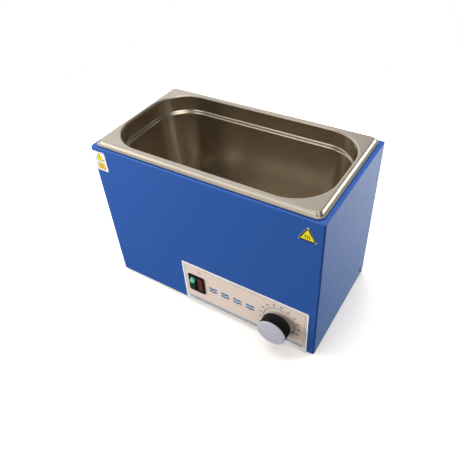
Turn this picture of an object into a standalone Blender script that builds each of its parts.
"""A small unstirred laboratory water bath, as an assembly of separate solids.

A drawn stainless pan hangs by its rim in a folded steel case. Under the pan are a heater mat, its
insulation and tray, and the control bay with the switch, the thermostat, the mains inlet and the wiring.

Metres, +Z up. The origin is on the surface that the feet stand on, at the middle of the whole object's
length and depth. The controls face -Y and the mains inlet faces +Y.
"""

from math import cos, pi, radians, sin, sqrt, tan

import bmesh
import bpy
from mathutils import Vector

MM = 0.001
GAP = 0.3 * MM  # between pieces that touch on the real object

# ---- The pan: a third-size catering pan, which the case is built round
PAN_LENGTH = 325 * MM  # over the rim's lip, along X
PAN_WIDTH = 176 * MM  # over the rim's lip, along Y
PAN_DROP = 150 * MM  # from the top of the rim to the floor inside
PAN_WALL = 0.8 * MM
RIM_RISE = 7 * MM  # top of the rim above the case
LIP_FLARE = 2.7 * MM
LIP_RADIUS = 9 * MM
SKIRT_LEAN = 0.5 * MM
RIM_FOLD = 1.2 * MM
RIM_CORNER = 5 * MM
END_FLANGE = 10 * MM  # lip to opening, at the two ends
SIDE_FLANGE = 11.5 * MM  # lip to opening, at front and back
OPENING_RADIUS = 52 * MM
EDGE_ROLL = 2.5 * MM
SHOULDER_TOP = 22 * MM  # below the rim
SHOULDER_FALL = 6 * MM
SHOULDER_INSET = 3.5 * MM
NECK_DRAFT = 0.3 * MM
WALL_TAPER = 8.5 * MM  # from the shoulder to the floor, on each side
FLOOR_RADIUS = 16 * MM
PAN_CORNER_STEPS = 6
ARC_STEPS = 3

# ---- The case and its base plate
SHEET = 1.2 * MM
END_LEDGE = 5.5 * MM  # case beyond the rim's lip, at the two ends
SIDE_LEDGE = 2.5 * MM  # case beyond the rim's lip, at front and back
CASE_CORNER = 2.5 * MM
CASE_FOLD = 1.8 * MM
BAY_HEIGHT = 88.7 * MM  # case's bottom edge to the pan's underside
CUTOUT_MARGIN = 3.2 * MM
RETURN_WIDTH = 14 * MM
RETURN_ENDS = 12 * MM
BASE_FLANGE = 17 * MM
VENT_LENGTH = 26 * MM
VENT_WIDTH = 4 * MM
VENT_PITCH = 12 * MM
VENT_COLUMNS = 7
VENT_ROW_OFFSET = 26 * MM
GASKET_THICKNESS = 0.6 * MM
GASKET_INSET = 0.5 * MM
GASKET_WIDTH = 3.6 * MM
FOOT_HEIGHT = 4 * MM
FOOT_RADIUS = 9 * MM
FOOT_INSET = 20 * MM
FOOT_TAPER = 1.2 * MM

# ---- Fasteners
CASE_SCREW_RADIUS = 2 * MM  # M4
CASE_SCREW_LENGTH = 8 * MM
CASE_SCREW_HEIGHT = 9.5 * MM  # above the case's bottom edge
CASE_SCREW_FROM_BACK = 12.4 * MM
FRONT_SCREW_FROM_END = 45 * MM
INLET_SCREW_RADIUS = 1.5 * MM  # M3
INLET_SCREW_LENGTH = 9 * MM
HEAD_RADIUS_RATIO = 1.8
HEAD_HEIGHT_RATIO = 1.15
RECESS_SPAN_RATIO = 1.1  # over the head's radius
RECESS_WIDTH_RATIO = 0.4  # over the screw's radius
NUT_WIDTH_RATIO = 3.6  # across flats, over the screw's radius
NUT_HEIGHT_RATIO = 1.6
ROUND_SIDES = 20

# ---- Heater, insulation and sensor
MAT_THICKNESS = 1.5 * MM
MAT_INSET = 6 * MM  # from the flat of the pan's floor
PAD_THICKNESS = 6 * MM
PAD_MARGIN = 3 * MM  # pad beyond the mat
PAD_RADIUS = 10 * MM
TRAY_SHEET = 1 * MM
STUD_RADIUS = 2 * MM
STUD_FROM_END = 24 * MM
WOOL_CLEARANCE = 1.7 * MM
WOOL_FROM_CASE = 1 * MM
WOOL_TOP_GAP = 12 * MM
CUTOUT_SWITCH_RADIUS = 7 * MM
CUTOUT_SWITCH_HEIGHT = 8 * MM
CUTOUT_SWITCH_FLANGE = 1.6 * MM
BULB_RADIUS = 3 * MM
BULB_LENGTH = 80 * MM
BULB_HEIGHT = 18 * MM  # above the pan's floor
BULB_FROM_KNOB = 16 * MM
CLIP_WIDTH = 8 * MM
CLIP_SHEET = 0.6 * MM
CLIP_FROM_END = 16 * MM
CLIP_OPENING = 50  # degrees each side of straight down
CAPILLARY_RADIUS = 0.8 * MM
CAPILLARY_BEND = 7 * MM

# ---- Control panel on the front
PANEL_LENGTH = 198 * MM
PANEL_HEIGHT = 77.5 * MM
PANEL_THICKNESS = 0.5 * MM
PANEL_FROM_END = 10.4 * MM
PANEL_FROM_BOTTOM = 1.5 * MM
PANEL_RADIUS = 1.5 * MM

# ---- Thermostat and its knob
KNOB_FROM_PANEL_END = 41.6 * MM
KNOB_HEIGHT = 41 * MM  # above the case's bottom edge
KNOB_RADIUS = 20.5 * MM
KNOB_BACK = 7 * MM  # in front of the case
KNOB_FRONT = 22.4 * MM
KNOB_WALL = 2.2 * MM
KNOB_WEB = 3 * MM
KNOB_CHAMFER = 0.6 * MM
KNOB_BOSS_RADIUS = 7 * MM
KNOB_BOSS_BACK = 8.2 * MM
KNOB_SIDES = 48
CAP_THICKNESS = 1.1 * MM
CAP_DOME = 0.6 * MM
CAP_OVERHANG = 0.2 * MM
CAP_EDGE = 0.35 * MM
SET_SCREW_RADIUS = 1.5 * MM
SET_SCREW_LENGTH = 3 * MM
SET_SCREW_OFF = 13 * MM  # in front of the case
SPINDLE_RADIUS = 3 * MM
SPINDLE_FRONT = 18.6 * MM
SPINDLE_BACK = 9 * MM
BUSH_RADIUS = 5 * MM
BUSH_FRONT = 5.2 * MM
BUSH_NUT_WIDTH = 14 * MM
BUSH_NUT_HEIGHT = 2.5 * MM
THERMOSTAT_WIDTH = 38 * MM
THERMOSTAT_HEIGHT = 34 * MM
THERMOSTAT_DEPTH = 20 * MM
BLADE_WIDTH = 4.8 * MM
BLADE_SHEET = 0.8 * MM
BLADE_LENGTH = 8 * MM
THERMOSTAT_BLADE_OFF = 10 * MM

# ---- Twin switch: a rocker on the left and an indicator lens on the right
SWITCH_FROM_PANEL_END = 23.1 * MM
SWITCH_HEIGHT = 43 * MM  # above the case's bottom edge
BEZEL_WIDTH = 27 * MM
BEZEL_HEIGHT = 32.5 * MM
BEZEL_THICKNESS = 2 * MM
BEZEL_CORNER = 2 * MM
BEZEL_EDGE = 0.6 * MM
SWITCH_SHOULDER = 1.5 * MM  # bezel beyond the body behind it
SWITCH_DEPTH = 20 * MM
POCKET_WIDTH = 10.2 * MM
POCKET_HEIGHT = 25.2 * MM
POCKET_DEPTH = 11.5 * MM
ROCKER_THROW = 22  # degrees
ROCKER_PIVOT_DEPTH = 4 * MM  # behind the bezel's face
ROCKER_RIDGE = 1.6 * MM  # in front of the bezel's face
ROCKER_REACH = 12.1 * MM  # from the pivot to the rocker's ends
ROCKER_END_BACK = 1.5 * MM
ROCKER_KEEL = 4.5 * MM
ROCKER_KEEL_HALF = 3 * MM
PIVOT_RADIUS = 1.2 * MM
PIVOT_LENGTH = 1 * MM
LENS_THICKNESS = 3.6 * MM
LENS_PROUD = 0.5 * MM
NEON_RADIUS = 1.8 * MM
NEON_LENGTH = 12 * MM
TERMINAL_SINK = 1.2 * MM
TERMINAL_ROW = 8 * MM

# ---- Mains inlet on the back, with a fuse drawer under its socket
INLET_FROM_END = 58 * MM
INLET_HEIGHT = 36 * MM  # above the case's bottom edge
INLET_FLANGE_WIDTH = 50 * MM
INLET_FLANGE_HEIGHT = 33 * MM
INLET_FLANGE = 3 * MM
INLET_CORNER = 3 * MM
INLET_BODY_WIDTH = 29 * MM
INLET_BODY_HEIGHT = 31 * MM
INLET_BODY_DEPTH = 21 * MM
INLET_SCREW_SPACING = 40 * MM
SOCKET_WIDTH = 24.4 * MM
SOCKET_HEIGHT = 16.6 * MM
SOCKET_DEPTH = 16 * MM
SOCKET_CHAMFER = 4.5 * MM
SOCKET_UP = 4.6 * MM
PIN_WIDTH = 2 * MM
PIN_HEIGHT = 4 * MM
PIN_FRONT = 1.5 * MM  # pin's tip behind the flange's face
PIN_SPACING = 7 * MM
EARTH_PIN_UP = 2 * MM
LINE_PIN_DOWN = 2 * MM
TAB_LENGTH = 7 * MM
DRAWER_WIDTH = 24 * MM
DRAWER_HEIGHT = 7.4 * MM
DRAWER_DEPTH = 18 * MM
DRAWER_DOWN = 9.6 * MM
DRAWER_LIP = 0.8 * MM
DRAWER_FLOOR = 1.2 * MM
FUSE_RADIUS = 2.5 * MM
FUSE_LENGTH = 15 * MM
FUSE_CAP = 4.2 * MM

# ---- Earth stud and wiring
EARTH_FROM_END = 100 * MM
EARTH_FROM_BACK = 42 * MM
EARTH_LENGTH = 11 * MM
WIRE_RADIUS = 1.1 * MM
WIRE_SPACING = 6.6 * MM  # between neighbouring runs
WIRE_LEAD = 11 * MM  # straight out of a terminal
WIRE_LEVEL = 20 * MM  # main run above the case's bottom edge
ROUTE_STEPS = 6

# ---- Labels on the front
LABEL_THICKNESS = 0.3 * MM
NOTICE_WIDTH = 20.5 * MM
NOTICE_HEIGHT = 30 * MM
NOTICE_FROM_END = 0.6 * MM
NOTICE_FROM_TOP = 6 * MM
HOT_SIDE = 24 * MM
HOT_FROM_END = 19.5 * MM
HOT_FROM_TOP = 9.5 * MM
HOT_CORNER = 1.5 * MM

# ---- What follows from those
CASE_LENGTH = PAN_LENGTH + 2 * END_LEDGE
CASE_WIDTH = PAN_WIDTH + 2 * SIDE_LEDGE
CASE_BOTTOM = FOOT_HEIGHT
FLOOR_Z = CASE_BOTTOM + BAY_HEIGHT + PAN_WALL
RIM_Z = FLOOR_Z + PAN_DROP
CASE_TOP = RIM_Z - RIM_RISE
CASE_HEIGHT = CASE_TOP - CASE_BOTTOM
KNOB_PROUD = KNOB_FRONT + GAP + CAP_THICKNESS + CAP_DOME
INLET_PROUD = GAP + INLET_FLANGE + GAP + HEAD_HEIGHT_RATIO * INLET_SCREW_RADIUS
CASE_Y = (KNOB_PROUD - INLET_PROUD) / 2
FRONT_Y = CASE_Y - CASE_WIDTH / 2
BACK_Y = CASE_Y + CASE_WIDTH / 2
OPENING_X = PAN_LENGTH / 2 - END_FLANGE
OPENING_Y = PAN_WIDTH / 2 - SIDE_FLANGE
BASE_Z = CASE_BOTTOM + GAP
BASE_TOP = BASE_Z + SHEET
PANEL_RIGHT = CASE_LENGTH / 2 - PANEL_FROM_END
PANEL_X = PANEL_RIGHT - PANEL_LENGTH / 2
PANEL_Z = CASE_BOTTOM + PANEL_FROM_BOTTOM + PANEL_HEIGHT / 2
KNOB_X = PANEL_RIGHT - KNOB_FROM_PANEL_END
KNOB_Z = CASE_BOTTOM + KNOB_HEIGHT
SWITCH_X = PANEL_RIGHT - PANEL_LENGTH + SWITCH_FROM_PANEL_END
SWITCH_Z = CASE_BOTTOM + SWITCH_HEIGHT
BEZEL_BACK = GAP + PANEL_THICKNESS + GAP  # in front of the case
BEZEL_FACE = BEZEL_BACK + BEZEL_THICKNESS
POCKET_X = POCKET_WIDTH / 2 + (BEZEL_WIDTH - 2 * POCKET_WIDTH) / 6
INLET_X = -CASE_LENGTH / 2 + INLET_FROM_END
INLET_Z = CASE_BOTTOM + INLET_HEIGHT
INLET_FACE = GAP + INLET_FLANGE
EARTH_X = -CASE_LENGTH / 2 + EARTH_FROM_END
EARTH_Y = BACK_Y - EARTH_FROM_BACK
BASE_FLAT_X = OPENING_X - SHOULDER_INSET - WALL_TAPER - FLOOR_RADIUS
BASE_FLAT_Y = OPENING_Y - SHOULDER_INSET - WALL_TAPER - FLOOR_RADIUS
MAT_TOP = FLOOR_Z - PAN_WALL - GAP
PAD_TOP = MAT_TOP - MAT_THICKNESS - GAP
TRAY_TOP = PAD_TOP - PAD_THICKNESS - GAP
STUD_X = BASE_FLAT_X - STUD_FROM_END

# Turns that carry +Z, the way a piece faces, to each side of the case
FACING = {
    "front": (pi / 2, 0, 0),
    "back": (pi / 2, 0, pi),
    "right": (0, pi / 2, 0),
    "left": (0, -pi / 2, 0),
    "up": (0, 0, 0),
    "down": (pi, 0, 0),
}

# name: base colour, roughness, metallic
FINISHES = {
    "blue_enamel": ((0.035, 0.13, 0.48), 0.42, 0.0),
    "stainless": ((0.60, 0.57, 0.52), 0.28, 1.0),
    "zinc_steel": ((0.62, 0.62, 0.60), 0.40, 1.0),
    "brass": ((0.78, 0.60, 0.30), 0.30, 1.0),
    "aluminium": ((0.72, 0.72, 0.73), 0.45, 1.0),
    "black_plastic": ((0.012, 0.012, 0.013), 0.38, 0.0),
    "grey_cap": ((0.55, 0.55, 0.66), 0.35, 0.0),
    "cream_film": ((0.80, 0.72, 0.66), 0.45, 0.0),
    "green_rocker": ((0.01, 0.30, 0.16), 0.25, 0.0),
    "red_lens": ((0.25, 0.015, 0.02), 0.20, 0.0),
    "lamp_glass": ((0.85, 0.80, 0.72), 0.10, 0.0),
    "black_rubber": ((0.02, 0.02, 0.02), 0.80, 0.0),
    "orange_silicone": ((0.62, 0.20, 0.06), 0.60, 0.0),
    "white_wool": ((0.80, 0.79, 0.74), 0.95, 0.0),
    "copper": ((0.80, 0.42, 0.26), 0.30, 1.0),
    "brown_wire": ((0.16, 0.06, 0.02), 0.50, 0.0),
    "blue_wire": ((0.04, 0.16, 0.55), 0.50, 0.0),
    "earth_wire": ((0.20, 0.50, 0.06), 0.50, 0.0),
    "white_label": ((0.85, 0.86, 0.88), 0.40, 0.0),
    "yellow_label": ((0.75, 0.66, 0.06), 0.40, 0.0),
}


# ---------------------------------------------------------------- helpers


def clear_scene():
    for leftover in list(bpy.data.objects):
        bpy.data.objects.remove(leftover)


def finish_material(name):
    """The material of this name, made the first time it is asked for."""
    if name in bpy.data.materials:
        return bpy.data.materials[name]
    colour, roughness, metallic = FINISHES[name]
    material = bpy.data.materials.new(name)
    material.use_nodes = True
    shader = material.node_tree.nodes["Principled BSDF"]
    shader.inputs["Base Color"].default_value = (*colour, 1)
    shader.inputs["Roughness"].default_value = roughness
    shader.inputs["Metallic"].default_value = metallic
    material.diffuse_color = (*colour, 1)
    return material


def place(name, mesh, finish, location=(0, 0, 0), facing="up"):
    """An object in the scene, at its location and turned the way it faces."""
    piece = bpy.data.objects.new(name, mesh)
    piece.location = location
    piece.rotation_euler = FACING[facing]
    if finish and not mesh.materials:
        mesh.materials.append(finish_material(finish))
    bpy.context.scene.collection.objects.link(piece)
    return piece


def mesh_from(bm, name):
    """The bmesh as a mesh, faces pointing out, smooth except at sharp edges."""
    bmesh.ops.recalc_face_normals(bm, faces=bm.faces)
    mesh = bpy.data.meshes.new(name)
    bm.to_mesh(mesh)
    bm.free()
    mesh.shade_smooth()
    mesh.set_sharp_from_angle(angle=radians(35))
    return mesh


def rounded_rectangle(half_x, half_y, radius, steps=ARC_STEPS):
    """Points of a rounded rectangle round the origin, anticlockwise."""
    points = []
    for quarter, (side_x, side_y) in enumerate(((1, 1), (-1, 1), (-1, -1), (1, -1))):
        for step in range(steps + 1):
            angle = (quarter + step / steps) * pi / 2
            x = side_x * (half_x - radius) + radius * cos(angle)
            y = side_y * (half_y - radius) + radius * sin(angle)
            points.append((x, y))
    return points


def circle(radius, sides=ROUND_SIDES, start=0.0):
    return [
        (radius * cos(start + 2 * pi * n / sides), radius * sin(start + 2 * pi * n / sides))
        for n in range(sides)
    ]


def hexagon(across_flats):
    return circle(across_flats / sqrt(3), sides=6)


def add_loft(bm, rings, closed=False):
    """Faces through rings of 3D points with the same count. A closed loft joins its last ring to its
    first."""
    made = [[bm.verts.new(point) for point in ring] for ring in rings]
    count = len(rings[0])
    pairs = list(zip(made, made[1:]))
    if closed:
        pairs.append((made[-1], made[0]))
    for lower, upper in pairs:
        for n in range(count):
            m = (n + 1) % count
            bm.faces.new((lower[n], lower[m], upper[m], upper[n]))
    if not closed:
        bm.faces.new(reversed(made[0]))
        bm.faces.new(made[-1])


def loft(name, rings, closed=False):
    bm = bmesh.new()
    add_loft(bm, rings, closed)
    return mesh_from(bm, name)


def at_height(outline, z):
    return [(x, y, z) for x, y in outline]


def prism(name, outline, low, high):
    """The outline, extruded along Z."""
    return loft(name, [at_height(outline, low), at_height(outline, high)])


def lathe(name, profile, sides=ROUND_SIDES):
    """A solid turned about Z from (radius, z) points, whose ends are on the axis or make flat caps."""
    rings = [at_height(circle(radius, sides), z) for radius, z in profile]
    return loft(name, rings)


def necked(radius, low, high):
    """The profile of a rod whose two ends draw in, as on a bulb."""
    return [(radius / 2, low), (radius, low + radius), (radius, high - radius), (radius / 2, high)]


def block(name, size, centre=(0, 0, 0)):
    """A plain box."""
    bm = bmesh.new()
    bmesh.ops.create_cube(bm, size=1)
    bmesh.ops.scale(bm, verts=bm.verts, vec=size)
    bmesh.ops.translate(bm, verts=bm.verts, vec=centre)
    return mesh_from(bm, name)


def helper(name, mesh, location=(0, 0, 0), facing="up"):
    """A cutter or an addition: it shapes another piece and isn't one itself."""
    shape = place(name, mesh, None, location, facing)
    shape.hide_render = True
    shape.display_type = "WIRE"
    return shape


def combine(target, shape, operation):
    modifier = target.modifiers.new(f"{operation.lower()}_{shape.name}", "BOOLEAN")
    modifier.operation = operation
    modifier.object = shape
    modifier.solver = "EXACT"


def cut(target, shape):
    combine(target, shape, "DIFFERENCE")


def join(target, shape):
    combine(target, shape, "UNION")


def baked(piece):
    """The piece's mesh with its modifiers worked in, and the piece itself removed."""
    graph = bpy.context.evaluated_depsgraph_get()
    mesh = bpy.data.meshes.new_from_object(piece.evaluated_get(graph))
    bpy.data.objects.remove(piece)
    return mesh


def sheet_offset(profile, thickness):
    """The other skin of a sheet whose one skin is a profile of (half_x, half_y, radius, z) rings.
    It lies the sheet's thickness to the left of the way that the profile runs."""
    moved = []
    for n, (half_x, half_y, radius, z) in enumerate(profile):
        before = profile[max(n - 1, 0)]
        after = profile[min(n + 1, len(profile) - 1)]
        along = [
            Vector((b[0] - a[0], b[3] - a[3])).normalized()
            for a, b in ((before, profile[n]), (profile[n], after))
            if a is not b
        ]
        normals = [Vector((-d.y, d.x)) for d in along]
        mean = sum(normals, Vector((0, 0))).normalized()
        reach = thickness / mean.dot(normals[0])
        out, up = mean * reach
        moved.append((half_x + out, half_y + out, max(radius + out, 0.2 * MM), z + up))
    return moved


def plan_rings(profile, steps):
    return [
        at_height(rounded_rectangle(half_x, half_y, radius, steps), z)
        for half_x, half_y, radius, z in profile
    ]


def smooth_route(points):
    """A smooth line through hand-chosen points. Its direction at a point leans towards the nearer
    neighbour, so that a short lead out of a terminal stays straight."""
    points = [Vector(p) for p in points]
    chords = [b - a for a, b in zip(points, points[1:])]
    ways = [chords[0].normalized()]
    for before, after in zip(chords, chords[1:]):
        total = before.length + after.length
        way = before.normalized() * after.length + after.normalized() * before.length
        ways.append(way / total)
    ways.append(chords[-1].normalized())
    route = []
    for start, chord, leaving, arriving in zip(points, chords, ways, ways[1:]):
        for step in range(ROUTE_STEPS):
            t = step / ROUTE_STEPS
            bend_out = leaving * chord.length * (t - 2 * t**2 + t**3)
            bend_in = arriving * chord.length * (t**3 - t**2)
            route.append(start + chord * (3 * t**2 - 2 * t**3) + bend_out + bend_in)
    return [*route, points[-1]]


def flexible(name, points, radius, finish):
    """A tube along a smooth route."""
    curve = bpy.data.curves.new(name, "CURVE")
    curve.dimensions = "3D"
    curve.bevel_depth = radius
    curve.bevel_resolution = 2
    curve.use_fill_caps = True
    spline = curve.splines.new("POLY")
    route = smooth_route(points)
    spline.points.add(len(route) - 1)
    for target, point in zip(spline.points, route):
        target.co = (*point, 1)
    return place(name, curve, finish)


# ---------------------------------------------------------------- fasteners


def screw_mesh(name, radius, length):
    """A pan-head screw with a cross recess. Its head's underside is at z = 0 and its shank runs down."""
    head = radius * HEAD_RADIUS_RATIO
    height = radius * HEAD_HEIGHT_RATIO
    chamfer = radius / 3
    profile = [
        (radius - chamfer, -length),
        (radius, -length + chamfer),
        (radius, 0),
        (head, 0),
        (head, height / 2),
        (head - chamfer, height * 0.85),
        (head / 2, height),
    ]
    screw = place(name, lathe(name, profile), "zinc_steel")
    arm = (head * RECESS_SPAN_RATIO, radius * RECESS_WIDTH_RATIO, height)
    for turn, size in enumerate((arm, (arm[1], arm[0], arm[2]))):
        recess = helper(f"{name}_recess_{turn}", block("recess", size, (0, 0, height)))
        cut(screw, recess)
    return baked(screw)


def nut_mesh(name, radius, width, height):
    """A hexagon nut standing up from z = 0, with room for its screw."""
    nut = place(name, prism(name, hexagon(width), 0, height), "zinc_steel")
    cut(nut, helper(f"{name}_bore", prism("bore", circle(radius + GAP), -height, 2 * height)))
    return baked(nut)


# ---------------------------------------------------------------- case and base


def pan_profile():
    """The pan's upper skin, from the lip's lower edge in to the floor, as (half_x, half_y, radius, z)."""
    lip_x, lip_y = PAN_LENGTH / 2, PAN_WIDTH / 2
    lip_z = CASE_TOP + 2 * GAP + GASKET_THICKNESS
    rings = [(lip_x, lip_y, LIP_RADIUS, lip_z), (lip_x, lip_y, LIP_RADIUS, lip_z + PAN_WALL)]

    def inset(amount, radius, z):
        return (lip_x - amount, lip_y - amount, radius, z)

    rings.append(inset(LIP_FLARE, LIP_RADIUS - LIP_FLARE, lip_z + PAN_WALL + GAP))
    lean = LIP_FLARE + SKIRT_LEAN
    for step in range(ARC_STEPS + 1):
        angle = step / ARC_STEPS * pi / 2
        rings.append(
            inset(
                lean + RIM_FOLD * (1 - cos(angle)),
                RIM_CORNER,
                RIM_Z - RIM_FOLD * (1 - sin(angle)),
            )
        )

    def opening(inward, z):
        return (OPENING_X - inward, OPENING_Y - inward, OPENING_RADIUS - inward, z)

    for step in range(ARC_STEPS + 1):
        angle = step / ARC_STEPS * pi / 2
        rings.append(opening(-EDGE_ROLL * (1 - sin(angle)), RIM_Z - EDGE_ROLL * (1 - cos(angle))))
    rings.append(opening(NECK_DRAFT, RIM_Z - SHOULDER_TOP))
    for share in (1 / 3, 2 / 3, 1):
        eased = share**2 * (3 - 2 * share)
        inward = NECK_DRAFT + (SHOULDER_INSET - NECK_DRAFT) * eased
        rings.append(opening(inward, RIM_Z - SHOULDER_TOP - SHOULDER_FALL * share))
    foot = SHOULDER_INSET + WALL_TAPER
    for step in range(ARC_STEPS + 2):
        angle = step / (ARC_STEPS + 1) * pi / 2
        rings.append(
            opening(foot + FLOOR_RADIUS * (1 - cos(angle)), FLOOR_Z + FLOOR_RADIUS * (1 - sin(angle)))
        )
    return rings


def make_pan():
    upper = pan_profile()
    lower = sheet_offset(upper[1:], PAN_WALL)
    lip_edge = upper[0]
    lower[0] = (
        lip_edge[0] - LIP_FLARE,
        lip_edge[1] - LIP_FLARE,
        lip_edge[2] - LIP_FLARE,
        lip_edge[3],
    )
    del lower[1]
    rings = plan_rings(list(reversed(lower)) + upper, PAN_CORNER_STEPS)
    pan = place("tank_pan", loft("tank_pan", rings), "stainless", (0, CASE_Y, 0))
    length = 3 * PAN_WALL + MAT_THICKNESS + PAD_THICKNESS + TRAY_SHEET + 4 * GAP + 2 * STUD_RADIUS
    stud = prism("stud", circle(STUD_RADIUS, 12), FLOOR_Z - length, FLOOR_Z - PAN_WALL / 2)
    for side, name in ((-1, "left"), (1, "right")):
        join(pan, helper(f"pan_stud_{name}", stud, (side * STUD_X, CASE_Y, 0)))


def make_case():
    half_x, half_y = CASE_LENGTH / 2, CASE_WIDTH / 2
    outer = [(half_x, half_y, CASE_CORNER, 0)]
    for step in range(ARC_STEPS + 1):
        angle = step / ARC_STEPS * pi / 2
        inward = CASE_FOLD * (1 - cos(angle))
        height = CASE_HEIGHT - CASE_FOLD * (1 - sin(angle))
        outer.append((half_x - inward, half_y - inward, CASE_CORNER - inward, height))
    edge = PAN_WALL + CUTOUT_MARGIN
    cutout = (OPENING_X + edge, OPENING_Y + edge, OPENING_RADIUS + edge)
    inner_radius = CASE_CORNER - SHEET
    rings = [
        *outer,
        (*cutout, CASE_HEIGHT),
        (*cutout, CASE_HEIGHT - SHEET),
        (half_x - SHEET, half_y - SHEET, inner_radius, CASE_HEIGHT - SHEET),
        (half_x - SHEET, half_y - SHEET, inner_radius, 0),
    ]
    mesh = loft("case_shell", plan_rings(rings, ARC_STEPS + 1), closed=True)
    case = place("case_shell", mesh, "blue_enamel", (0, CASE_Y, CASE_BOTTOM))

    # The front wall's bottom edge is returned inwards, over the base plate
    return_size = (CASE_LENGTH - 2 * RETURN_ENDS, RETURN_WIDTH, SHEET)
    return_at = (0, FRONT_Y + SHEET / 2 + RETURN_WIDTH / 2, BASE_TOP + GAP + SHEET / 2)
    join(case, helper("case_front_return", block("front_return", return_size), return_at))
    for shape in control_cutouts("case", 0):
        cut(case, shape)
    cut(case, inlet_cutout())
    for shape in screw_clearances("case"):
        cut(case, shape)
    return case


def control_cutouts(prefix, bush_room):
    """Cutters for the switch's body and the thermostat's bush, through the front wall or the panel."""
    through = 4 * SHEET
    body = [size - 2 * SWITCH_SHOULDER + 2 * GAP for size in (BEZEL_WIDTH, BEZEL_HEIGHT)]
    window = block(f"{prefix}_switch_hole", (body[0], body[1], through))
    hole = prism(f"{prefix}_bush_hole", circle(BUSH_RADIUS + GAP + bush_room), -through / 2, through / 2)
    return (
        helper(f"{prefix}_switch_cutter", window, (SWITCH_X, FRONT_Y, SWITCH_Z), "front"),
        helper(f"{prefix}_bush_cutter", hole, (KNOB_X, FRONT_Y, KNOB_Z), "front"),
    )


def inlet_cutout():
    """One cutter for the inlet's body and its two screws, through the back wall."""
    through = 4 * SHEET
    size = (INLET_BODY_WIDTH + 2 * GAP, INLET_BODY_HEIGHT + 2 * GAP, through)
    cutter = helper(
        "inlet_window", block("inlet_window", size), (INLET_X, BACK_Y, INLET_Z), "back"
    )
    hole = prism("inlet_screw_hole", circle(INLET_SCREW_RADIUS + GAP, 12), -through / 2, through / 2)
    for side in (-1, 1):
        x = INLET_X + side * INLET_SCREW_SPACING / 2
        join(cutter, helper(f"inlet_hole_{side}", hole, (x, BACK_Y, INLET_Z), "back"))
    return cutter


def side_screw_places():
    """Where the side screws' heads sit, with the way that each one faces."""
    y = BACK_Y - CASE_SCREW_FROM_BACK
    z = CASE_BOTTOM + CASE_SCREW_HEIGHT
    return {
        "rear_left": ((-CASE_LENGTH / 2 - GAP, y, z), "left"),
        "rear_right": ((CASE_LENGTH / 2 + GAP, y, z), "right"),
    }


def front_screw_places():
    """Where the screws under the front edge sit, with the way that each one faces."""
    y = FRONT_Y + SHEET + RETURN_WIDTH / 2
    x = CASE_LENGTH / 2 - FRONT_SCREW_FROM_END
    return {
        "front_left": ((-x, y, BASE_Z - GAP), "down"),
        "front_right": ((x, y, BASE_Z - GAP), "down"),
    }


def screw_clearances(prefix):
    """Cutters for the four screws that hold the base plate."""
    deep = 2 * CASE_SCREW_LENGTH
    hole = prism(f"{prefix}_screw_hole", circle(CASE_SCREW_RADIUS + GAP, 12), -deep / 2, deep / 4)
    places = {**side_screw_places(), **front_screw_places()}
    return [
        helper(f"{prefix}_hole_{name}", hole, location, facing)
        for name, (location, facing) in places.items()
    ]


def make_base_plate():
    """A tray without a front wall: the case's front return comes in over it there."""
    wall = SHEET + GAP
    half_x, half_y, radius = CASE_LENGTH / 2 - wall, CASE_WIDTH / 2 - wall, CASE_CORNER - wall
    outer = (half_x, half_y, radius)
    inner = (half_x - SHEET, half_y - SHEET, radius / 2)
    rings = [(*outer, 0), (*outer, BASE_FLANGE), (*inner, BASE_FLANGE), (*inner, SHEET)]
    mesh = loft("base_plate", plan_rings(rings, ARC_STEPS))
    base = place("base_plate", mesh, "zinc_steel", (0, CASE_Y, BASE_Z))
    open_depth = 2 * (RETURN_WIDTH + 2 * GAP)
    opening = block("base_front_opening", (CASE_LENGTH, open_depth, 2 * (BASE_FLANGE - SHEET)))
    cut(base, helper("base_front_opening", opening, (0, CASE_Y - half_y, BASE_Z + BASE_FLANGE)))
    cut(base, vent_slots())
    for shape in screw_clearances("base"):
        cut(base, shape)


def vent_slots():
    """One cutter with two rows of round-ended slots."""
    bm = bmesh.new()
    end_radius = VENT_WIDTH / 2 - GAP
    outline = rounded_rectangle(VENT_WIDTH / 2, VENT_LENGTH / 2, end_radius)
    for row in (-1, 1):
        for column in range(VENT_COLUMNS):
            x = (column - (VENT_COLUMNS - 1) / 2) * VENT_PITCH
            moved = [(x + px, row * VENT_ROW_OFFSET + py) for px, py in outline]
            add_loft(bm, [at_height(moved, -SHEET), at_height(moved, 2 * SHEET)])
    return helper("vent_slots", mesh_from(bm, "vent_slots"), (0, CASE_Y, BASE_Z))


def make_feet():
    sole = FOOT_RADIUS - FOOT_TAPER
    profile = [
        (sole, 0),
        (sole + FOOT_TAPER / 2, FOOT_HEIGHT / 6),
        (FOOT_RADIUS, FOOT_HEIGHT / 2),
        (FOOT_RADIUS, FOOT_HEIGHT),
    ]
    mesh = lathe("foot", profile)
    for depth, y in (("front", FRONT_Y + FOOT_INSET), ("rear", BACK_Y - FOOT_INSET)):
        for side, x in (("left", -1), ("right", 1)):
            place(
                f"foot_{depth}_{side}",
                mesh,
                "black_rubber",
                (x * (CASE_LENGTH / 2 - FOOT_INSET), y, 0),
            )


def make_base_screws():
    mesh = screw_mesh("base_screw", CASE_SCREW_RADIUS, CASE_SCREW_LENGTH)
    for name, (location, facing) in {**side_screw_places(), **front_screw_places()}.items():
        place(f"base_screw_{name}", mesh, "zinc_steel", location, facing)


def make_gasket():
    outer = (PAN_LENGTH / 2 - GASKET_INSET, PAN_WIDTH / 2 - GASKET_INSET, LIP_RADIUS - GASKET_INSET)
    inner = [size - GASKET_WIDTH for size in outer]
    low, high = CASE_TOP + GAP, CASE_TOP + GAP + GASKET_THICKNESS
    rings = [(*outer, low), (*outer, high), (*inner, high), (*inner, low)]
    mesh = loft("rim_gasket", plan_rings(rings, ARC_STEPS), closed=True)
    place("rim_gasket", mesh, "black_rubber", (0, CASE_Y, 0))


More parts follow.
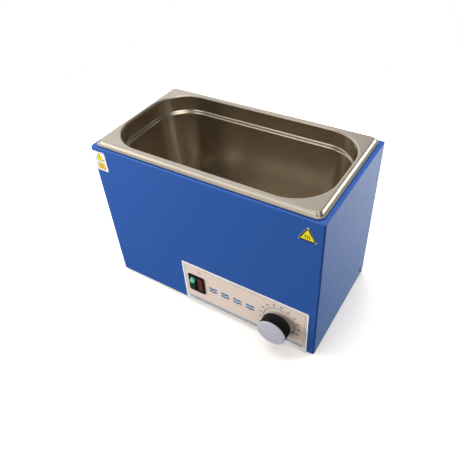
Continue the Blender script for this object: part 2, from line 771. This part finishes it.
# ---------------------------------------------------------------- heater, insulation, sensor


def make_wool_wrap():
    inner_off = PAN_WALL + WOOL_CLEARANCE
    inner = (OPENING_X + inner_off, OPENING_Y + inner_off, OPENING_RADIUS + inner_off)
    wall = SHEET + WOOL_FROM_CASE
    outer_x, outer_y = CASE_LENGTH / 2 - wall, CASE_WIDTH / 2 - wall
    outer = (outer_x, outer_y, inner[2] + outer_y - inner[1])
    low, high = FLOOR_Z, CASE_TOP - WOOL_TOP_GAP
    rings = [(*outer, low), (*outer, high), (*inner, high), (*inner, low)]
    mesh = loft("tank_insulation", plan_rings(rings, PAN_CORNER_STEPS), closed=True)
    place("tank_insulation", mesh, "white_wool", (0, CASE_Y, 0))


def stud_holes(prefix):
    """Cutters for the pan's two studs."""
    hole = prism(f"{prefix}_stud_hole", circle(STUD_RADIUS + GAP, 12), TRAY_TOP - 4 * TRAY_SHEET, FLOOR_Z)
    return [
        helper(f"{prefix}_stud_hole_{side}", hole, (side * STUD_X, CASE_Y, 0)) for side in (-1, 1)
    ]


def make_heater():
    mat_x, mat_y = BASE_FLAT_X - MAT_INSET, BASE_FLAT_Y - MAT_INSET
    outline = rounded_rectangle(mat_x, mat_y, PAD_RADIUS)
    mesh = prism("heater_mat", outline, MAT_TOP - MAT_THICKNESS, MAT_TOP)
    mat = place("heater_mat", mesh, "orange_silicone", (0, CASE_Y, 0))
    pad_x, pad_y = mat_x + PAD_MARGIN, mat_y + PAD_MARGIN
    outline = rounded_rectangle(pad_x, pad_y, PAD_RADIUS)
    mesh = prism("heater_insulation", outline, PAD_TOP - PAD_THICKNESS, PAD_TOP)
    pad = place("heater_insulation", mesh, "white_wool", (0, CASE_Y, 0))
    inner = (pad_x + GAP, pad_y + GAP, PAD_RADIUS + GAP)
    outer = [size + TRAY_SHEET for size in inner]
    bottom = TRAY_TOP - TRAY_SHEET
    rings = [(*outer, bottom), (*outer, MAT_TOP), (*inner, MAT_TOP), (*inner, TRAY_TOP)]
    tray_mesh = loft("heater_tray", plan_rings(rings, ARC_STEPS))
    tray = place("heater_tray", tray_mesh, "aluminium", (0, CASE_Y, 0))
    for piece in (mat, pad, tray):
        for shape in stud_holes(piece.name):
            cut(piece, shape)
    width, height = STUD_RADIUS * NUT_WIDTH_RATIO, STUD_RADIUS * NUT_HEIGHT_RATIO
    nut = nut_mesh("tray_nut", STUD_RADIUS, width, height)
    for side, name in ((-1, "left"), (1, "right")):
        place(f"tray_nut_{name}", nut, "zinc_steel", (side * STUD_X, CASE_Y, bottom - GAP - height))


def make_thermal_cutout():
    top = TRAY_TOP - TRAY_SHEET - GAP
    bottom = top - CUTOUT_SWITCH_HEIGHT
    flange = CUTOUT_SWITCH_RADIUS + CUTOUT_SWITCH_FLANGE
    profile = [
        (CUTOUT_SWITCH_RADIUS - TRAY_SHEET, bottom),
        (CUTOUT_SWITCH_RADIUS, bottom + TRAY_SHEET),
        (CUTOUT_SWITCH_RADIUS, top - CUTOUT_SWITCH_FLANGE),
        (flange, top - CUTOUT_SWITCH_FLANGE),
        (flange, top),
    ]
    place("thermal_cutout", lathe("thermal_cutout", profile), "black_plastic", thermal_cutout_place())


def thermal_cutout_place():
    return (KNOB_X - THERMOSTAT_WIDTH - 2 * CUTOUT_SWITCH_RADIUS, CASE_Y, 0)


def pan_front_at(z):
    """How far the pan's lower front wall stands out from the case's middle at this height."""
    straight = PAN_DROP - SHOULDER_TOP - SHOULDER_FALL - FLOOR_RADIUS
    share = (z - FLOOR_Z - FLOOR_RADIUS) / straight
    return OPENING_Y - SHOULDER_INSET - WALL_TAPER * (1 - share) + PAN_WALL


def bulb_end():
    """The bulb's end that the capillary leaves, on the bulb's axis."""
    z = FLOOR_Z + BULB_HEIGHT
    y = CASE_Y - pan_front_at(z) - CLIP_SHEET - 2 * GAP - BULB_RADIUS
    return Vector((KNOB_X - BULB_FROM_KNOB, y, z))


def make_sensor():
    end = bulb_end()
    mesh = lathe("sensor_bulb", necked(BULB_RADIUS, 0, BULB_LENGTH), 16)
    place("sensor_bulb", mesh, "copper", end - Vector((BULB_LENGTH, 0, 0)), "right")
    inner, outer = BULB_RADIUS + GAP, BULB_RADIUS + GAP + CLIP_SHEET
    steps, opening = 12, radians(CLIP_OPENING)
    angles = [opening + (2 * pi - 2 * opening) * n / steps for n in range(steps + 1)]
    band = [(outer * cos(a), outer * sin(a)) for a in angles]
    band += [(inner * cos(a), inner * sin(a)) for a in reversed(angles)]
    mesh = prism("bulb_clip", band, -CLIP_WIDTH / 2, CLIP_WIDTH / 2)
    for name, along in (("right", CLIP_FROM_END), ("left", BULB_LENGTH - CLIP_FROM_END)):
        place(f"bulb_clip_{name}", mesh, "zinc_steel", end - Vector((along, 0, 0)), "right")
    start = thermostat_top()
    bend = CAPILLARY_BEND
    points = [
        start,
        start + Vector((0, 0, bend)),
        Vector((start.x + bend / 4, (start.y + end.y) / 2, TRAY_TOP)),
        Vector((end.x + 2 * bend, end.y, FLOOR_Z + bend)),
        Vector((end.x + bend, end.y, end.z - bend / 2)),
        end + Vector((GAP, 0, 0)),
    ]
    flexible("thermostat_capillary", points, CAPILLARY_RADIUS, "copper")


# ---------------------------------------------------------------- thermostat and knob


def thermostat_top():
    """Where the capillary leaves the thermostat."""
    y = FRONT_Y + SHEET + GAP + THERMOSTAT_DEPTH / 2
    return Vector((KNOB_X, y, KNOB_Z + THERMOSTAT_HEIGHT / 2 + GAP))


def thermostat_blade(side):
    """The tip of one of the thermostat's two terminal blades."""
    y = FRONT_Y + SHEET + GAP + THERMOSTAT_DEPTH + BLADE_LENGTH
    return Vector((KNOB_X + side * THERMOSTAT_BLADE_OFF, y, KNOB_Z))


def make_thermostat():
    back = -SHEET - GAP
    size = (THERMOSTAT_WIDTH, THERMOSTAT_HEIGHT, THERMOSTAT_DEPTH)
    housing = block("thermostat_body", size, (0, 0, back - THERMOSTAT_DEPTH / 2))
    centre = (KNOB_X, FRONT_Y, KNOB_Z)
    body = place("thermostat_body", housing, "zinc_steel", centre, "front")
    bush = prism("bush", circle(BUSH_RADIUS), back - SHEET, BUSH_FRONT)
    join(body, helper("thermostat_bush", bush, centre, "front"))
    for side in (-1, 1):
        depth = BLADE_LENGTH + SHEET
        blade = block("blade", (BLADE_SHEET, BLADE_WIDTH, depth))
        middle = FRONT_Y + SHEET + GAP + THERMOSTAT_DEPTH - SHEET + depth / 2
        where = (KNOB_X + side * THERMOSTAT_BLADE_OFF, middle, KNOB_Z)
        join(body, helper(f"thermostat_blade_{side}", blade, where, "front"))
    bore = prism("bore", circle(SPINDLE_RADIUS + GAP), -SPINDLE_BACK - GAP, 2 * BUSH_FRONT)
    cut(body, helper("thermostat_bore", bore, centre, "front"))

    nut = nut_mesh("thermostat_nut", BUSH_RADIUS, BUSH_NUT_WIDTH, BUSH_NUT_HEIGHT)
    nut_at = (KNOB_X, FRONT_Y - BEZEL_BACK, KNOB_Z)
    place("thermostat_nut", nut, "zinc_steel", nut_at, "front")


def make_knob():
    axis = bpy.data.objects.new("knob_axis", None)
    axis.location = (KNOB_X, FRONT_Y, KNOB_Z)
    axis.rotation_euler = FACING["front"]
    bpy.context.scene.collection.objects.link(axis)

    def on_axis(name, mesh, finish):
        piece = place(name, mesh, finish)
        piece.parent = axis
        return piece

    profile = [(SPINDLE_RADIUS, -SPINDLE_BACK), (SPINDLE_RADIUS, SPINDLE_FRONT)]
    on_axis("thermostat_spindle", lathe("thermostat_spindle", profile), "brass")

    bore = SPINDLE_RADIUS + GAP
    web = KNOB_FRONT - KNOB_WEB
    inside = KNOB_RADIUS - KNOB_WALL
    profile = [
        (0.5 * MM, KNOB_FRONT),
        (KNOB_RADIUS - KNOB_CHAMFER, KNOB_FRONT),
        (KNOB_RADIUS, KNOB_FRONT - KNOB_CHAMFER),
        (KNOB_RADIUS, KNOB_BACK + KNOB_CHAMFER),
        (KNOB_RADIUS - KNOB_CHAMFER, KNOB_BACK),
        (inside, KNOB_BACK),
        (inside, web),
        (KNOB_BOSS_RADIUS, web),
        (KNOB_BOSS_RADIUS, KNOB_BOSS_BACK),
        (bore, KNOB_BOSS_BACK),
        (bore, SPINDLE_FRONT + GAP),
    ]
    mesh = lathe("knob_body", profile, KNOB_SIDES)
    knob = on_axis("knob_body", mesh, "black_plastic")
    driver = helper(
        "set_screw_hole",
        prism("set_screw_hole", circle(SET_SCREW_RADIUS + GAP, 12), 0, KNOB_RADIUS + KNOB_WALL),
        (KNOB_X, FRONT_Y - SET_SCREW_OFF, KNOB_Z),
        "down",
    )
    cut(knob, driver)
    screw = prism("knob_set_screw", circle(SET_SCREW_RADIUS, 12), 0, SET_SCREW_LENGTH)
    set_screw = on_axis("knob_set_screw", screw, "zinc_steel")
    set_screw.location = (0, -SPINDLE_RADIUS - GAP, SET_SCREW_OFF)
    set_screw.rotation_euler = (pi / 2, 0, 0)

    base = KNOB_FRONT + GAP
    edge = base + CAP_THICKNESS
    rim = KNOB_RADIUS + CAP_OVERHANG
    dome = [(share * rim, edge + CAP_DOME * (1 - share**2)) for share in (0.85, 0.6, 0.35, 0.1)]
    profile = [
        (rim - CAP_EDGE, base),
        (rim, base + CAP_EDGE),
        (rim, edge - CAP_EDGE),
        (rim - CAP_EDGE, edge),
        *dome,
    ]
    on_axis("knob_cap", lathe("knob_cap", profile, KNOB_SIDES), "grey_cap")


# ---------------------------------------------------------------- control panel, labels, switch


def make_control_panel():
    outline = rounded_rectangle(PANEL_LENGTH / 2, PANEL_HEIGHT / 2, PANEL_RADIUS)
    mesh = prism("control_panel", outline, GAP, GAP + PANEL_THICKNESS)
    panel = place("control_panel", mesh, "cream_film", (PANEL_X, FRONT_Y, PANEL_Z), "front")
    for shape in control_cutouts("panel", GAP):
        cut(panel, shape)


def make_labels():
    z = CASE_TOP - NOTICE_FROM_TOP - NOTICE_HEIGHT / 2
    x = -CASE_LENGTH / 2 + CASE_CORNER + NOTICE_FROM_END + NOTICE_WIDTH / 2
    outline = rounded_rectangle(NOTICE_WIDTH / 2, NOTICE_HEIGHT / 2, PANEL_RADIUS, 2)
    mesh = prism("notice_label", outline, GAP, GAP + LABEL_THICKNESS)
    place("notice_label", mesh, "white_label", (x, FRONT_Y, z), "front")

    height = HOT_SIDE * sqrt(3) / 2
    z = CASE_TOP - HOT_FROM_TOP - height * 2 / 3
    x = CASE_LENGTH / 2 - HOT_FROM_END
    outline = []
    for corner in range(3):
        middle = pi / 2 + corner * 2 * pi / 3
        reach = height * 2 / 3 - 2 * HOT_CORNER
        for step in range(ARC_STEPS + 1):
            angle = middle + (step / ARC_STEPS - 0.5) * 2 * pi / 3
            outline.append(
                (
                    reach * cos(middle) + HOT_CORNER * cos(angle),
                    reach * sin(middle) + HOT_CORNER * sin(angle),
                )
            )
    mesh = prism("hot_surface_label", outline, GAP, GAP + LABEL_THICKNESS)
    place("hot_surface_label", mesh, "yellow_label", (x, FRONT_Y, z), "front")


def terminal_places():
    """The switch's four terminals, as (x, z) from its middle."""
    return {
        "live_in": (-POCKET_X, TERMINAL_ROW / 2),
        "live_out": (-POCKET_X, -TERMINAL_ROW / 2),
        "neutral_in": (POCKET_X, TERMINAL_ROW / 2),
        "neutral_out": (POCKET_X, -TERMINAL_ROW / 2),
    }


def terminal_tip(name):
    x, z = terminal_places()[name]
    return Vector(
        (SWITCH_X + x, FRONT_Y + SWITCH_DEPTH + BLADE_LENGTH - TERMINAL_SINK, SWITCH_Z + z)
    )


def make_switch():
    centre = (SWITCH_X, FRONT_Y, SWITCH_Z)
    outline = rounded_rectangle(BEZEL_WIDTH / 2, BEZEL_HEIGHT / 2, BEZEL_CORNER)
    inner = rounded_rectangle(
        BEZEL_WIDTH / 2 - BEZEL_EDGE, BEZEL_HEIGHT / 2 - BEZEL_EDGE, BEZEL_CORNER - BEZEL_EDGE
    )
    rings = [
        at_height(outline, BEZEL_BACK),
        at_height(outline, BEZEL_FACE - BEZEL_EDGE),
        at_height(inner, BEZEL_FACE),
    ]
    housing = place("switch_housing", loft("switch_housing", rings), "black_plastic", centre, "front")
    deep = SWITCH_DEPTH + BEZEL_BACK + BEZEL_THICKNESS / 2
    size = (BEZEL_WIDTH - 2 * SWITCH_SHOULDER, BEZEL_HEIGHT - 2 * SWITCH_SHOULDER, deep)
    body = block("switch_body", size, (0, 0, deep / 2 - SWITCH_DEPTH))
    join(housing, helper("switch_body", body, centre, "front"))
    pocket_size = (POCKET_WIDTH, POCKET_HEIGHT, 2 * POCKET_DEPTH)
    for side, name in ((-1, "rocker"), (1, "lens")):
        pocket = block(f"{name}_pocket", pocket_size, (side * POCKET_X, 0, BEZEL_FACE))
        cut(housing, helper(f"{name}_pocket", pocket, centre, "front"))
    pivot_span = POCKET_WIDTH / 2 + PIVOT_LENGTH
    socket = prism("pivot_socket", circle(PIVOT_RADIUS + GAP, 12), -pivot_span, pivot_span)
    cut(housing, helper("pivot_socket", socket, rocker_pivot(), "right"))
    for name, (x, z) in terminal_places().items():
        slot_size = (BLADE_SHEET + 2 * GAP, BLADE_WIDTH + 2 * GAP, 2 * (TERMINAL_SINK + GAP))
        slot = block("terminal_slot", slot_size, (x, z, -SWITCH_DEPTH))
        cut(housing, helper(f"slot_{name}", slot, centre, "front"))
        blade_size = (BLADE_SHEET, BLADE_WIDTH, BLADE_LENGTH)
        middle = TERMINAL_SINK - SWITCH_DEPTH - BLADE_LENGTH / 2
        blade = block("terminal", blade_size, (x, z, middle))
        place(f"switch_terminal_{name}", blade, "brass", centre, "front")


def rocker_pivot():
    return (SWITCH_X - POCKET_X, FRONT_Y - BEZEL_FACE + ROCKER_PIVOT_DEPTH, SWITCH_Z)


def make_rocker():
    """The rocker at its rest, with its upper half pushed in and its lower half level with the panel."""
    ridge = -ROCKER_PIVOT_DEPTH - ROCKER_RIDGE
    half_throw = radians(ROCKER_THROW) / 2
    slope = tan(half_throw)
    # Where each face, falling back from the ridge, meets the circle that the ends sweep
    square, linear, constant = 1 + slope**2, 2 * ridge * slope, ridge**2 - ROCKER_REACH**2
    end_z = (-linear + sqrt(linear**2 - 4 * square * constant)) / (2 * square)
    end_y = ridge + end_z * slope
    back_z = sqrt(ROCKER_REACH**2 - ROCKER_END_BACK**2)
    upper = [(end_y, end_z), (ROCKER_END_BACK, back_z), (ROCKER_KEEL, ROCKER_KEEL_HALF)]
    outline = [(ridge, 0), *upper, *[(y, -z) for y, z in reversed(upper)]]
    turned = []
    for y, z in outline:
        turned.append(
            (
                y * cos(-half_throw) - z * sin(-half_throw),
                y * sin(-half_throw) + z * cos(-half_throw),
            )
        )
    half_width = POCKET_WIDTH / 2 - GAP
    rings = [[(x, y, z) for y, z in turned] for x in (-half_width, half_width)]
    rocker = place("power_rocker", loft("power_rocker", rings), "green_rocker", rocker_pivot())
    span = half_width + PIVOT_LENGTH
    pin = prism("pivot_pin", circle(PIVOT_RADIUS, 12), -span, span)
    join(rocker, helper("pivot_pin", pin, rocker_pivot(), "right"))


def make_indicator():
    centre = (SWITCH_X + POCKET_X, FRONT_Y, SWITCH_Z)
    half_x, half_y = POCKET_WIDTH / 2 - GAP, POCKET_HEIGHT / 2 - GAP
    front = BEZEL_FACE + LENS_PROUD
    outline = rounded_rectangle(half_x, half_y, BEZEL_EDGE, 2)
    inner = rounded_rectangle(half_x - BEZEL_EDGE, half_y - BEZEL_EDGE, BEZEL_EDGE / 2, 2)
    rings = [
        at_height(outline, BEZEL_FACE - LENS_THICKNESS),
        at_height(outline, front - BEZEL_EDGE / 2),
        at_height(inner, front),
    ]
    place("indicator_lens", loft("indicator_lens", rings), "red_lens", centre, "front")
    lamp = lathe("neon_lamp", necked(NEON_RADIUS, -NEON_LENGTH / 2, NEON_LENGTH / 2), 12)
    depth = POCKET_DEPTH - NEON_RADIUS - GAP
    lamp_at = (centre[0], FRONT_Y - BEZEL_FACE + depth, SWITCH_Z)
    place("neon_lamp", lamp, "lamp_glass", lamp_at)


# ---------------------------------------------------------------- mains inlet


def inlet_pin_places():
    """The inlet's three pins, as (x, z) from the socket's middle, seen from behind the case."""
    return {
        "live": (-PIN_SPACING, -LINE_PIN_DOWN),
        "neutral": (PIN_SPACING, -LINE_PIN_DOWN),
        "earth": (0, EARTH_PIN_UP),
    }


def inlet_tab(name):
    """The tip of a pin's tab inside the case."""
    x, z = inlet_pin_places()[name]
    y = BACK_Y + INLET_FACE - INLET_FLANGE - INLET_BODY_DEPTH - TAB_LENGTH
    return Vector((INLET_X - x, y, INLET_Z + SOCKET_UP + z))


def make_inlet():
    centre = (INLET_X, BACK_Y, INLET_Z)
    outline = rounded_rectangle(INLET_FLANGE_WIDTH / 2, INLET_FLANGE_HEIGHT / 2, INLET_CORNER)
    inner = rounded_rectangle(
        INLET_FLANGE_WIDTH / 2 - BEZEL_EDGE,
        INLET_FLANGE_HEIGHT / 2 - BEZEL_EDGE,
        INLET_CORNER - BEZEL_EDGE,
    )
    rings = [
        at_height(outline, GAP),
        at_height(outline, INLET_FACE - BEZEL_EDGE),
        at_height(inner, INLET_FACE),
    ]
    housing = place("inlet_housing", loft("inlet_housing", rings), "black_plastic", centre, "back")
    deep = INLET_BODY_DEPTH + INLET_FLANGE / 2
    size = (INLET_BODY_WIDTH, INLET_BODY_HEIGHT, deep)
    body = block("inlet_body", size, (0, 0, GAP + INLET_FLANGE / 2 - deep / 2))
    join(housing, helper("inlet_body", body, centre, "back"))

    half_x, half_z = SOCKET_WIDTH / 2, SOCKET_HEIGHT / 2
    socket_outline = [
        (-half_x, -half_z),
        (half_x, -half_z),
        (half_x, half_z - SOCKET_CHAMFER),
        (half_x - SOCKET_CHAMFER, half_z),
        (-half_x + SOCKET_CHAMFER, half_z),
        (-half_x, half_z - SOCKET_CHAMFER),
    ]
    raised = [(x, z + SOCKET_UP) for x, z in socket_outline]
    socket = prism("socket_well", raised, INLET_FACE - SOCKET_DEPTH, 2 * INLET_FACE)
    cut(housing, helper("socket_well", socket, centre, "back"))
    well = (DRAWER_WIDTH + 2 * GAP, DRAWER_HEIGHT + 2 * GAP, 2 * (DRAWER_DEPTH + GAP))
    drawer_well = block("drawer_well", well, (0, -DRAWER_DOWN, INLET_FACE))
    cut(housing, helper("drawer_well", drawer_well, centre, "back"))
    hole = prism("flange_hole", circle(INLET_SCREW_RADIUS + GAP, 12), -INLET_FLANGE, 2 * INLET_FLANGE)
    for side in (-1, 1):
        x = INLET_X + side * INLET_SCREW_SPACING / 2
        cut(housing, helper(f"flange_hole_{side}", hole, (x, BACK_Y, INLET_Z), "back"))

    pin_back = GAP - INLET_BODY_DEPTH - TAB_LENGTH
    pin_front = INLET_FACE - PIN_FRONT
    for name, (x, z) in inlet_pin_places().items():
        middle = (x, z + SOCKET_UP, (pin_front + pin_back) / 2)
        size = (PIN_WIDTH, PIN_HEIGHT, pin_front - pin_back)
        pin = block(f"inlet_pin_{name}", size, middle)
        place(f"inlet_pin_{name}", pin, "brass", centre, "back")
        slot_size = (PIN_WIDTH + 2 * GAP, PIN_HEIGHT + 2 * GAP, INLET_BODY_DEPTH)
        slot = block("pin_slot", slot_size, (x, z + SOCKET_UP, -INLET_BODY_DEPTH))
        cut(housing, helper(f"pin_slot_{name}", slot, centre, "back"))


def make_fuse_drawer():
    centre = (INLET_X, BACK_Y, INLET_Z)
    deep = DRAWER_DEPTH + DRAWER_LIP
    front = INLET_FACE + DRAWER_LIP
    size = (DRAWER_WIDTH, DRAWER_HEIGHT, deep)
    mesh = block("fuse_drawer", size, (0, -DRAWER_DOWN, front - deep / 2))
    drawer = place("fuse_drawer", mesh, "black_plastic", centre, "back")
    pocket = (2 * (FUSE_RADIUS + GAP), DRAWER_HEIGHT, FUSE_LENGTH + 2 * GAP)
    pocket_middle = (0, -DRAWER_DOWN + DRAWER_FLOOR, INLET_FACE - DRAWER_DEPTH / 2)
    cut(drawer, helper("fuse_pocket", block("fuse_pocket", pocket, pocket_middle), centre, "back"))

    low = pocket_middle[2] - FUSE_LENGTH / 2
    high = low + FUSE_LENGTH
    waist = FUSE_RADIUS - GAP
    profile = [
        (FUSE_RADIUS, low),
        (FUSE_RADIUS, low + FUSE_CAP),
        (waist, low + FUSE_CAP),
        (waist, high - FUSE_CAP),
        (FUSE_RADIUS, high - FUSE_CAP),
        (FUSE_RADIUS, high),
    ]
    height = INLET_Z - DRAWER_DOWN - DRAWER_HEIGHT / 2 + DRAWER_FLOOR + GAP + FUSE_RADIUS
    fuse = lathe("fuse", profile, 16)
    place("fuse", fuse, "zinc_steel", (INLET_X, BACK_Y, height), "back")


def make_inlet_fasteners():
    screw = screw_mesh("inlet_screw", INLET_SCREW_RADIUS, INLET_SCREW_LENGTH)
    width = INLET_SCREW_RADIUS * NUT_WIDTH_RATIO
    height = INLET_SCREW_RADIUS * NUT_HEIGHT_RATIO
    nut = nut_mesh("inlet_nut", INLET_SCREW_RADIUS, width, height)
    for side, name in ((-1, "left"), (1, "right")):
        x = INLET_X + side * INLET_SCREW_SPACING / 2
        head = (x, BACK_Y + INLET_FACE + GAP, INLET_Z)
        place(f"inlet_screw_{name}", screw, "zinc_steel", head, "back")
        place(f"inlet_nut_{name}", nut, "zinc_steel", (x, BACK_Y - SHEET - GAP, INLET_Z), "front")


# ---------------------------------------------------------------- earth stud and wiring


def make_earth_stud():
    low = BASE_TOP + GAP
    profile = [
        (CASE_SCREW_RADIUS * 2, low),
        (CASE_SCREW_RADIUS * 2, low + SHEET),
        (CASE_SCREW_RADIUS, low + SHEET),
        (CASE_SCREW_RADIUS, low + EARTH_LENGTH),
    ]
    place("earth_stud", lathe("earth_stud", profile, 16), "brass", (EARTH_X, EARTH_Y, 0))
    width = CASE_SCREW_RADIUS * NUT_WIDTH_RATIO
    height = CASE_SCREW_RADIUS * NUT_HEIGHT_RATIO
    nut = nut_mesh("earth_nut", CASE_SCREW_RADIUS, width, height)
    place("earth_nut", nut, "brass", (EARTH_X, EARTH_Y, low + SHEET + GAP))


def off_tip(tip, direction):
    """Just clear of a terminal's tip, and two points straight beyond it."""
    way = Vector(direction)
    return [tip + way * GAP, tip + way * WIRE_LEAD / 2, tip + way * WIRE_LEAD]


def lane(x, y, rise=0.0):
    """A point of the main run along the bay, at its level or above."""
    return Vector((x, y, CASE_BOTTOM + WIRE_LEVEL + rise))


def make_wires():
    into_bay = (0, -1, 0)
    back_from_front = (0, 1, 0)
    run = WIRE_SPACING
    mid_y = CASE_Y

    def from_inlet(name):
        return off_tip(inlet_tab(name), into_bay)

    def from_switch(name):
        return off_tip(terminal_tip(name), back_from_front)

    def from_thermostat(side):
        return off_tip(thermostat_blade(side), back_from_front)

    supply = {
        "live": ("live_in", run, "brown_wire"),
        "neutral": ("neutral_in", 0, "blue_wire"),
    }
    for name, (terminal, rise, finish) in supply.items():
        start, end = from_inlet(name), from_switch(terminal)
        middle = [lane((INLET_X + SWITCH_X) / 2, mid_y, rise)]
        flexible(f"wire_supply_{name}", [*start, *middle, *reversed(end)], WIRE_RADIUS, finish)

    start, end = from_switch("live_out"), from_thermostat(-1)
    middle = [lane((SWITCH_X + KNOB_X) / 2, mid_y - run * 2)]
    points = [*start, *middle, *reversed(end)]
    flexible("wire_switched_live", points, WIRE_RADIUS, "brown_wire")

    cutout_x, cutout_y, _ = thermal_cutout_place()
    under_cutout = TRAY_TOP - TRAY_SHEET - 2 * GAP - CUTOUT_SWITCH_HEIGHT
    start = from_thermostat(1)
    end = off_tip(Vector((cutout_x, cutout_y, under_cutout)), (0, 0, -1))
    middle = [Vector((KNOB_X - THERMOSTAT_BLADE_OFF, mid_y + run * 2, KNOB_Z))]
    points = [*start, *middle, *reversed(end)]
    flexible("wire_heater_live", points, WIRE_RADIUS, "brown_wire")

    start = from_switch("neutral_out")
    tray_edge = Vector((SWITCH_X + 2 * POCKET_WIDTH, mid_y, TRAY_TOP - TRAY_SHEET - GAP))
    end = off_tip(tray_edge, (0, 0, -1))
    flexible("wire_heater_neutral", [*start, *reversed(end)], WIRE_RADIUS, "blue_wire")

    start = from_inlet("earth")
    stud_top = Vector((EARTH_X, EARTH_Y, BASE_TOP + GAP + EARTH_LENGTH))
    end = off_tip(stud_top, (0, 0, 1))
    middle = [(start[-1] + end[-1]) / 2 + Vector((0, -2 * run, run))]
    flexible("wire_earth", [*start, *middle, *reversed(end)], WIRE_RADIUS, "earth_wire")


def make_water_bath():
    clear_scene()
    make_case()
    make_base_plate()
    make_feet()
    make_base_screws()
    make_pan()
    make_gasket()
    make_wool_wrap()
    make_heater()
    make_thermal_cutout()
    make_sensor()
    make_thermostat()
    make_knob()
    make_control_panel()
    make_labels()
    make_switch()
    make_rocker()
    make_indicator()
    make_inlet()
    make_fuse_drawer()
    make_inlet_fasteners()
    make_earth_stud()
    make_wires()


make_water_bath()
